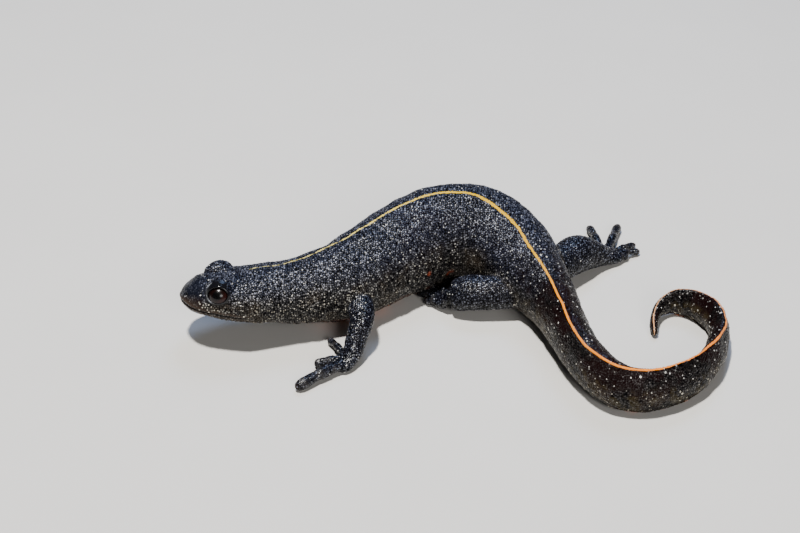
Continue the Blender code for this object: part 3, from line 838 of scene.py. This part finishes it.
class EyeView:
    """Points as the eye sees them: across (towards the tail), up, and out along its gaze."""

    def __init__(self, points, side):
        axis = gaze(side)
        back, _, top = head_axes()
        across = back - axis * (back @ axis)
        across /= np.linalg.norm(across)
        up = top - axis * (top @ axis) - across * (top @ across)
        up /= np.linalg.norm(up)
        offset = points - ball_centre(side)
        self.x = offset @ across
        self.y = offset @ up
        self.out = offset @ axis
        tall = np.where(self.y > LID_CENTRE, LID_HIGH, LID_LOW)
        scaled = np.hypot(self.x / LID_WIDE, (self.y - LID_CENTRE) / tall)
        away = np.hypot(self.x, self.y - LID_CENTRE)
        self.beyond = outside_by(away, scaled, least=0.2)
        self.near = (self.out > -EYE_BACK) & (away < EYE_REACH)


def open_eyes(points):
    """Opens the lids before the balls; also gives how wet, and how much on the arc of painted
    highlight, points are.
    """
    wet = np.zeros(len(points))
    rim = np.zeros(len(points))
    height, at, width = LID_RIM
    for side in (1, -1):
        view = EyeView(points, side)
        ball = np.sqrt(np.clip(BALL_RADIUS**2 - view.x**2 - view.y**2, 0, None))
        inside = 1 - ramp(view.beyond, -LID_EDGE, 0.0)
        margin = np.maximum(view.out, ball + LID_THICK)
        margin = margin + (view.out - margin) * ramp(view.beyond, *LID_SLOPE)
        lifted = margin + height * ridge(view.beyond - at, width)
        target = lifted + (ball - BEHIND_BALL - lifted) * inside
        move = np.where(view.near, target - view.out, 0.0)
        points = points + gaze(side) * move[:, None]
        upper = ramp(view.y - 0.9 * np.abs(view.x), -0.4, 0.5)
        smooth = LOWER_LID + (UPPER_LID - LOWER_LID) * upper
        wide = view.near & (view.beyond > -0.3)
        wet = np.maximum(wet, wide * (1 - ramp(view.beyond - smooth, *LID_FADE)))
        # The arc of painted highlight in front of the eye.
        from_arc = np.hypot(view.x - ARC_CENTRE[0], view.y - ARC_CENTRE[1]) - ARC_RADIUS
        rim = np.maximum(rim, ridge(from_arc, ARC_WIDTH) * ramp(-view.x, *ARC_FRONT) * view.near)
    return points, wet, rim


def line_shift(s):
    """How far the line along the back lies to the right of the top of the body."""
    return np.interp(s, STRIPE_ROWS[:, 0], STRIPE_ROWS[:, 1])


def mouth_drop(behind):
    at_snout, at_corner = MOUTH_DROP
    return at_snout + (at_corner - at_snout) * (behind / JAW_LENGTH)


def skin_forms(points, place, body):
    """How far each point of the body is raised by lips, nostrils, folds, grooves and fin edges."""
    s = place.s
    below_mouth = -place.top - mouth_drop(s)
    at_mouth = 1 - ramp(s, *MOUTH_END)
    rise = form(below_mouth, MOUTH_SLIT) * at_mouth
    rise += form(np.abs(below_mouth) - LIP_FROM_SLIT, LIP) * at_mouth
    jaw = np.where(below_mouth > 0, LOWER_JAW_IN, UPPER_JAW_OUT)
    rise += jaw * ridge(below_mouth, JAW_BAND) * at_mouth
    for side in (1, -1):
        distance = length_of(points - head_point(NOSTRIL_AT, side))[:, 0]
        from_pit = distance - distance.min()
        rise += form(from_pit, NOSTRIL_PIT) + form(from_pit - NOSTRIL_RIM_FROM_PIT, NOSTRIL_RIM)
    throat = ramp(place.angle, *THROAT)
    for at, fold in THROAT_FOLDS:
        rise += form(s - at, fold) * throat
    flank = ramp(place.angle, *FLANK_TOP) * (1 - ramp(place.angle, *FLANK_BOTTOM))
    for k in range(RIBS):
        at = FIRST_RIB + RIB_STEP * k + RIB_LEAN * np.cos(np.radians(place.angle))
        rise += form(s - at, RIB_GROOVE) * flank
    inner = flank * (place.side < 0)
    for at, crease in FLANK_CREASES:
        rise += form(s - at, crease) * inner
    trunk = ramp(s, *TRUNK_START) * (1 - ramp(s, *TRUNK_END))
    rise += form(place.side, BACK_GROOVE) * (place.top > 0) * trunk
    fin = ramp(s, *FIN_START) * (1 - ramp(s, *FIN_END))
    edge = np.where(place.top > 0, place.side - line_shift(s), place.side)
    rise += np.where(place.top > 0, FIN_ABOVE, FIN_BELOW) * ridge(edge, FIN_WIDTH) * fin
    rise += UNEVEN * waves(points, UNEVEN_SIZE, SEED)
    return rise * body


def knee_cleft(points):
    """1 in the cleft before the left knee, 0 away from it."""
    return ridge(points[:, 0] - KNEE_CLEFT_AT, KNEE_CLEFT[1]) * (points[:, 1] < 0)


def limb_forms(points, limbs, limb):
    """Wrinkles round the digits and across the legs, and the cleft before the left knee."""
    share = limbs.share
    on_digit = limbs.digit * ramp(share, *DIGIT_ROOT)
    rings = np.sin(2 * np.pi * share * DIGIT_WRINKLES)
    rise = form(rings - 1, DIGIT_WRINKLE) * on_digit * (1 - ramp(share, *DIGIT_END))
    folds = np.sin(2 * np.pi * share / LEG_WRINKLE_STEP)
    rise += form(folds - 1, LEG_WRINKLE) * (1 - limbs.digit)
    rise += KNEE_CLEFT[0] * knee_cleft(points)
    return rise * limb


class Grains:
    """Granules spread evenly over the skin, and each point's nearest granule."""

    def __init__(self, points, spacing, seed):
        cell = np.floor(points / spacing).astype(np.int64)
        shifts = [scramble(cell, seed + k) for k in range(3)]
        middle = (cell + 0.2 + 0.6 * np.stack(shifts, axis=1)) * spacing
        distance = length_of(points - middle)[:, 0]
        order = np.lexsort((distance, cell[:, 2], cell[:, 1], cell[:, 0]))
        sorted_cells = cell[order]
        first = np.ones(len(order), bool)
        first[1:] = np.any(sorted_cells[1:] != sorted_cells[:-1], axis=1)
        vertex = self.apart(points, order[first], spacing * GRAIN_APART)
        tree = tree_of(points[vertex])
        found = [tree.find_n(point, 2) for point in points]
        owner = np.array([pair[0][1] for pair in found])
        self.middle = vertex[owner]
        self.distance = np.array([pair[0][2] for pair in found])
        self.border = (np.array([pair[1][2] for pair in found]) - self.distance) / 2
        code = np.floor(points[vertex] / (spacing * 0.37)).astype(np.int64)
        self.luck, self.shade, self.size = (scramble(code, seed + k)[owner] for k in (11, 12, 13))

    @staticmethod
    def apart(points, chosen, least):
        """Drops each chosen point that lies too near to one before it."""
        tree = tree_of(points[chosen])
        kept = np.ones(len(chosen), bool)
        for k in range(len(chosen)):
            if kept[k]:
                for _, other, _ in tree.find_range(points[chosen[k]], least):
                    if other > k:
                        kept[other] = False
        return chosen[kept]


def specks(place, limb, grains, spots):
    """How far inside a white speck each point lies, in millimetres, and how bright the speck is."""
    s = place.s[grains.middle]
    angle = place.angle[grains.middle]
    cheek = ramp(angle, 60, 95) * ramp(s, 5, 9) * (1 - ramp(s, 20, 25))
    flank = ramp(angle, 40, 90)
    muzzle = ridge(s - 2.9, 0.9) * ramp(angle, 45, 60) * (1 - ramp(angle, 95, 110))
    kind = SMALL_SPECKS
    chance = kind.back + kind.flank * flank + kind.cheek * cheek
    chance = chance * (1 - kind.limb_loss * limb[grains.middle])
    chance = chance * ramp(s, 2.0, 4.0) + kind.muzzle * muzzle
    small = np.where(grains.luck < chance, kind.radius + kind.growth * grains.size, NO_SPECK)
    small = small - grains.distance
    small_bright = kind.dim + kind.bright * grains.shade
    s = place.s[spots.middle]
    tail = ramp(s, 48, 58) * (1 - limb[spots.middle])
    kind = LARGE_SPECKS
    chance = kind.back + kind.tail * tail + kind.cheek * cheek[spots.middle]
    chance = chance + kind.flank * flank[spots.middle]
    chance = chance * ramp(s, 3.0, 6.0) * (1 - kind.limb_loss * limb[spots.middle])
    large = kind.radius + kind.tail_radius * tail + kind.growth * spots.size**2
    large = np.where(spots.luck < chance, large, NO_SPECK) - spots.distance
    large_bright = kind.dim + kind.bright * spots.shade**1.5
    return np.maximum(small, large), np.where(large > small, large_bright, small_bright)


def stripe(points, place, grains):
    """How far inside the line along the back each point lies, in millimetres."""
    s = place.s
    slim = ramp(s, *SLIM_TAIL)
    half = np.interp(s, STRIPE_ROWS[:, 0], STRIPE_ROWS[:, 2])
    share = STRIPE_STEPS * (1 - slim)
    lateral = np.abs((1 - share) * place.side + share * place.side[grains.middle] - line_shift(s))
    ragged = STRIPE_RAGGED * waves(points, 1.0, SEED + 4) * (1 - 0.7 * slim)
    on_top = (place.top > 0) & (s > STRIPE_ROWS[0, 0])
    return np.where(on_top, half + ragged - lateral, -1.0)


def pale_segments(share):
    """The greyish patches on the middle of each digit's joints."""
    return np.maximum(ridge(share - 0.52, 0.07), ridge(share - 0.80, 0.06))


def flank_patches(points):
    """1 in the orange patches low on the left flank, 0 away from them."""
    inside = []
    for middle, size in FLANK_PATCHES:
        inside.append(1 - ramp(length_of(points - middle)[:, 0], 0.5 * size, size))
    return np.max(inside, axis=0)


def grain_share(s, wet, limb, digit):
    """How much of their full height the granules have at each point."""
    share = 1 - np.clip(wet * 1.5, 0, 1)
    share = share * (SNOUT_GRAIN + (1 - SNOUT_GRAIN) * ramp(s, *SNOUT_GRAIN_END))
    share = share * (1 - TAIL_LOSS * ramp(s, *TAIL_LOSS_START))
    return share * (1 - LIMB_LOSS * limb) * (1 - DIGIT_LOSS * digit)


def finish_skin(skin):
    """Raises folds and grain on the smooth skin, and gives the values that its colours need."""
    mesh = skin.data
    points, wet, rim = open_eyes(points_of(mesh))
    set_points(mesh, points)
    place = Places(points)
    s = place.s
    body = np.where(s < HEAD_END, 1.0, 1 - ramp(place.outside, *LEG_EDGE))
    limb = 1 - body
    limbs = Limbs(points)
    digit = limbs.digit * limb
    grains = Grains(points, GRAIN, SEED)
    spots = Grains(points, SPOT_SPACING, SEED + 30)
    top = np.clip(1 - (grains.distance / (GRAIN * GRAIN_RADIUS)) ** 2, 0, 1)
    top *= ramp(grains.border, 0.0, GRAIN * GRAIN_GAP)
    radius, bright = specks(place, limb, grains, spots)
    rough = grain_share(s, wet, limb, digit)
    rise = skin_forms(points, place, body * (1 - wet)) + limb_forms(points, limbs, limb)
    rise += GRAIN_HEIGHT * (GRAIN_VARIES + GRAIN_VARIES * grains.size) * rough * top
    rise += SPECK_HEIGHT * np.clip(radius / SPECK_FULL, 0, 1) * rough
    points = points + normals_of(mesh) * rise[:, None]
    points[:, 2] = np.maximum(points[:, 2], 0.0)
    set_points(mesh, points)
    below_mouth = -place.top - mouth_drop(s)
    at_mouth = (1 - ramp(s, *MOUTH_END)) * body
    # Painted shade along the mouth slit, joined below with the knee cleft.
    slit_shade = ridge(below_mouth, 0.13) * at_mouth
    # The belly's colour starts lower on the tail, and not at all on the dark throat and limbs.
    beneath = 18 * ramp(s, 50, 58) + 70 * (1 - ramp(s, 13, 17))
    return {
        "dome": top,
        "shade": grains.shade,
        "speck": np.clip(radius, -0.2, 0.2) - 0.3 * wet,
        "bright": bright,
        "stripe": stripe(points, place, grains) - 2 * limb,
        "place": s / BODY.length,
        "under": place.angle - beneath + 5 * waves(points, 3.0, SEED + 3) - 60 * limb,
        "limb": limb,
        "digit": digit * limbs.share,
        "segment": digit * pale_segments(limbs.share),
        "wet": wet,
        "rim": rim,
        "low": ramp(place.angle, *LOW_FLANK) * body,
        "tail": ramp(s, *TAIL_START) * body,
        "lip": ridge(np.abs(below_mouth) - 0.3, 0.16) * at_mouth,
        # Painted shade in the mouth slit and the cleft before the left knee.
        "mouth": np.maximum(slit_shade, 0.9 * knee_cleft(points) * limb),
        "patch": flank_patches(points),
        "snout": (1 - ramp(s, *SNOUT_END)) * body,
    }


def attribute(tree, name):
    made = tree.nodes.new("ShaderNodeAttribute")
    made.attribute_name = name
    return made.outputs["Fac"]


def link_or_set(tree, socket, value):
    if isinstance(value, bpy.types.NodeSocket):
        tree.links.new(value, socket)
    else:
        socket.default_value = value


def math_node(tree, operation, a, b):
    made = tree.nodes.new("ShaderNodeMath")
    made.operation = operation
    link_or_set(tree, made.inputs[0], a)
    link_or_set(tree, made.inputs[1], b)
    return made.outputs[0]


def product(tree, value, *factors):
    for factor in factors:
        value = math_node(tree, "MULTIPLY", value, factor)
    return value


def mix(tree, factor, a, b, kind="RGBA"):
    made = tree.nodes.new("ShaderNodeMix")
    made.data_type = kind
    first, result = (6, 2) if kind == "RGBA" else (2, 0)
    link_or_set(tree, made.inputs["Factor"], factor)
    link_or_set(tree, made.inputs[first], a)
    link_or_set(tree, made.inputs[first + 1], b)
    return made.outputs[result]


def mix_value(tree, factor, a, b):
    return mix(tree, factor, a, b, "FLOAT")


def in_turn(tree, mixer, values, places):
    """The first of some values, giving way to each of the others in a place of its own."""
    value = values[0]
    for where, other in zip(places, values[1:]):
        value = mixer(tree, where, value, other)
    return value


def lay(tree, over, colour, *amounts):
    """Lays a colour over another, by a product of amounts and the share that is its last number."""
    *rgb, share = over
    amount = product(tree, *amounts)
    if share < 1:
        amount = product(tree, amount, share)
    return mix(tree, amount, colour, (*rgb, 1))


def set_inputs(made, values):
    for name, value in values.items():
        made.inputs[name].default_value = value


def new_material(name):
    material = bpy.data.materials.new(name)
    material.use_nodes = True
    return material, material.node_tree, material.node_tree.nodes["Principled BSDF"]


def noise(tree, scale, detail=3.0, rough=0.6):
    coordinates = tree.nodes.new("ShaderNodeTexCoord")
    made = tree.nodes.new("ShaderNodeTexNoise")
    set_inputs(made, {"Scale": scale, "Detail": detail, "Roughness": rough})
    tree.links.new(coordinates.outputs["Object"], made.inputs["Vector"])
    return made.outputs["Fac"]


def step(tree, value, low, high):
    """0 below low, 1 above high, smooth between."""
    made = tree.nodes.new("ShaderNodeMapRange")
    made.interpolation_type = "SMOOTHSTEP"
    set_inputs(made, {"From Min": low, "From Max": high})
    tree.links.new(value, made.inputs["Value"])
    return made.outputs["Result"]


def colour_ramp(tree, value, stops):
    made = tree.nodes.new("ShaderNodeValToRGB")
    elements = made.color_ramp.elements
    for k, (position, colour) in enumerate(stops):
        element = elements[k] if k < 2 else elements.new(position)
        element.position = position
        element.color = (*colour, 1)
    tree.links.new(value, made.inputs["Fac"])
    return made.outputs["Color"]


def granule_colour(tree, at, coarse, fine):
    """Painted shade between granules, and on them a painted bluish sheen with paler painted glints,
    with the mottling of the tail and the flanks.
    """
    regions = (at.low, at.tail, at.limb)
    # The bluish tops of the back and the limbs are a painted sky reflection.
    tops, pale = (in_turn(tree, mix, colours, regions) for colours in (GRANULE_TOPS_WITH_SHEEN, GLINT_AND_PALE_GRANULES))
    # The palest tops, chosen at random, are painted glints, partly pale granule tips.
    tops = mix(tree, math_node(tree, "POWER", at.shade, 4.0), tops, pale)
    # Painted shade darkens the gaps between the granules.
    colour = mix(tree, math_node(tree, "POWER", at.dome, 2.0), SHADE_BETWEEN_GRANULES, tops)
    colour = lay(tree, TAIL_MOTTLE, colour, at.tail, step(tree, coarse, 0.42, 0.56))
    colour = lay(tree, TAIL_OLIVE, colour, at.tail, at.low, step(tree, fine, 0.48, 0.62))
    on_tops = math_node(tree, "ADD", 0.1, at.dome)
    return lay(tree, FLANK_BROWN, colour, at.low, step(tree, coarse, 0.46, 0.64), on_tops)


def head_and_digits(tree, at, snout, colour):
    """Lays the snout's, the lids', the lips' and the digits' own colours over a colour, with
    painted shade in the mouth slit and the knee cleft.
    """
    colour = mix(tree, snout, colour, mix(tree, at.low, *SNOUT_COLOURS))
    colour = lay(tree, WET_LID, colour, at.wet)
    colour = lay(tree, LIP_EDGE, colour, at.lip)
    # Painted shade darkens the mouth slit and the cleft before the left knee.
    colour = lay(tree, PAINTED_FOLD_SHADE, colour, at.mouth)
    colour = lay(tree, DIGIT_JOINT, colour, at.segment)
    return lay(tree, DIGIT_TIP, colour, step(tree, at.digit, 0.88, 1.0))


def belly_and_specks(tree, at, fine, colour):
    """Lays the belly, the white specks, the orange patches and the eye's arc of painted highlight
    over a colour.
    """
    blotches = colour_ramp(tree, noise(tree, 330.0, 2.0, 0.5), BELLY_BLOTCHES)
    colour = lay(tree, BELLY_EDGE, colour, step(tree, at.under, 132.0, 146.0))
    colour = mix(tree, step(tree, at.under, 148.0, 151.0), colour, blotches)
    off_belly = math_node(tree, "SUBTRACT", 1.0, step(tree, at.under, 134.0, 148.0))
    speck = product(tree, step(tree, at.speck, -0.018, 0.018), at.bright, off_belly)
    colour = mix(tree, speck, colour, mix(tree, at.low, *SPECK_COLOURS))
    colour = lay(tree, FLANK_ORANGE, colour, at.patch, step(tree, fine, 0.40, 0.55))
    # A broken pale arc of painted highlight on the wet lid edge in front of the eye.
    return lay(tree, EYE_ARC_HIGHLIGHT, colour, at.rim, step(tree, fine, 0.40, 0.60))


def skin_material(names):
    """Colours and gloss from the values that the skin's points store under these names."""
    material, tree, shader = new_material("newt_skin")
    at = SimpleNamespace(**{name: attribute(tree, name) for name in names})
    coarse, fine = noise(tree, 260.0), noise(tree, 700.0)
    snout = product(tree, at.snout, SNOUT_SHARE)
    on_line = step(tree, at.stripe, -0.03, 0.03)
    colour = granule_colour(tree, at, coarse, fine)
    colour = head_and_digits(tree, at, snout, colour)
    colour = belly_and_specks(tree, at, fine, colour)
    colour = mix(tree, on_line, colour, colour_ramp(tree, at.place, STRIPE_COLOURS))
    tree.links.new(colour, shader.inputs["Base Color"])
    rough = in_turn(tree, mix_value, ROUGHNESS, (at.dome, at.tail, at.limb, snout, at.wet))
    tree.links.new(rough, shader.inputs["Roughness"])
    on_top = mix_value(tree, math_node(tree, "POWER", at.shade, 2.0), *GLOSS_TOPS)
    gloss = mix_value(tree, at.dome, GLOSS_BETWEEN, on_top)
    gloss = product(tree, gloss, mix_value(tree, at.tail, 1.0, GLOSS_TAIL))
    gloss = in_turn(tree, mix_value, (gloss, GLOSS_WET, GLOSS_STRIPE), (at.wet, on_line))
    tree.links.new(gloss, shader.inputs["Specular IOR Level"])
    bump = tree.nodes.new("ShaderNodeBump")
    set_inputs(bump, {"Strength": 0.6, "Distance": 0.00002})
    tree.links.new(noise(tree, 14000.0, 2.0, 0.5), bump.inputs["Height"])
    tree.links.new(bump.outputs["Normal"], shader.inputs["Normal"])
    return material


def eye_material():
    """Dark red-brown iris round a black pupil, under a wet coat."""
    material, tree, shader = new_material("newt_eye")
    across = attribute(tree, "from_pupil")
    red = mix(tree, attribute(tree, "rear"), *IRIS_FRONT_AND_REAR)
    iris = mix(tree, noise(tree, 5200.0), IRIS_STREAK, red)
    iris = mix(tree, step(tree, across, *IRIS_EDGE), iris, IRIS_RIM)
    colour = mix(tree, step(tree, across, *PUPIL_EDGE), PUPIL, iris)
    tree.links.new(colour, shader.inputs["Base Color"])
    set_inputs(shader, EYE_FINISH)
    return material


def to_metres(points):
    return (points - LAYOUT_CENTRE) * MM


def build_eye(name, side, material):
    """One eyeball, a fine ball whose points know how far they are from the middle of its pupil."""
    shell = Shell()
    shell.ball((0, 0, 0), BALL_RADIUS, around=96, rings=64)
    mesh = shell.mesh(name)
    turn = Vector(gaze(side)).to_track_quat("Z", "Y").to_matrix()
    points = points_of(mesh)
    from_pupil = length_of(points[:, :2])[:, 0] / BALL_RADIUS
    from_pupil = np.where(points[:, 2] < 0, 2 - from_pupil, from_pupil)
    points = points @ np.array(turn).T + ball_centre(side)
    set_points(mesh, to_metres(points))
    view = EyeView(points, side)
    store(mesh, {"from_pupil": from_pupil, "rear": ramp(view.x - view.y, 0.0, 1.6)})
    mesh.shade_smooth()
    mesh.materials.append(material)
    return add_object(name, mesh)


def build_skin():
    skin = build_surface()
    unwrap(skin)
    values = finish_skin(skin)
    store(skin.data, values)
    set_points(skin.data, to_metres(points_of(skin.data)))
    skin.data.shade_smooth()
    skin.data.materials.clear()
    skin.data.materials.append(skin_material(values))
    return skin


def build_floor():
    material, tree, shader = new_material("studio_floor")
    colour = mix(tree, noise(tree, 40.0), *FLOOR_COLOURS)
    tree.links.new(colour, shader.inputs["Base Color"])
    set_inputs(shader, {"Roughness": 0.8})
    r = FLOOR_REACH
    corners = [(-r, -r, 0), (r, -r, 0), (r, r, 0), (-r, r, 0)]
    mesh = bpy.data.meshes.new("floor")
    mesh.from_pydata(corners, [], [(0, 1, 2, 3)])
    mesh.materials.append(material)
    add_object("floor", mesh)


def build_lights():
    for name, (place, size, power, colour) in LIGHTS.items():
        light = bpy.data.lights.new(name, "AREA")
        light.shape = "DISK"
        light.size = size
        light.energy = power
        light.color = colour
        lamp = add_object(name, light)
        lamp.location = place
        lamp.rotation_euler = (-Vector(place)).to_track_quat("-Z", "Y").to_euler()
    world = bpy.data.worlds.new("studio")
    world.use_nodes = True
    set_inputs(world.node_tree.nodes["Background"], AROUND)
    bpy.context.scene.world = world


def build_camera():
    camera = bpy.data.cameras.new("photo_camera")
    camera.sensor_width = SENSOR_WIDTH
    camera.lens = CAMERA_DISTANCE / PIXEL_AT_AIM / PICTURE_WIDTH * SENSOR_WIDTH
    camera.clip_start = 0.01
    holder = add_object("photo_camera", camera)
    away = np.array((0.0, -math.cos(CAMERA_DOWN), math.sin(CAMERA_DOWN)))
    holder.location = to_metres(CAMERA_AIM + away * CAMERA_DISTANCE)
    holder.rotation_euler = (math.pi / 2 - CAMERA_DOWN, 0, 0)
    bpy.context.scene.camera = holder


def main():
    build_camera()
    build_lights()
    build_floor()
    skin = build_skin()
    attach(skin, "root")
    flesh = [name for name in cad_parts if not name.startswith("eye_")]
    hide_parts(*flesh)
    material = eye_material()
    for name, side in (("eye_left", 1), ("eye_right", -1)):
        eye = build_eye(name + "_ball", side, material)
        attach(eye, "root")
        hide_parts(name)


main()
bpy.context.view_layer.update()
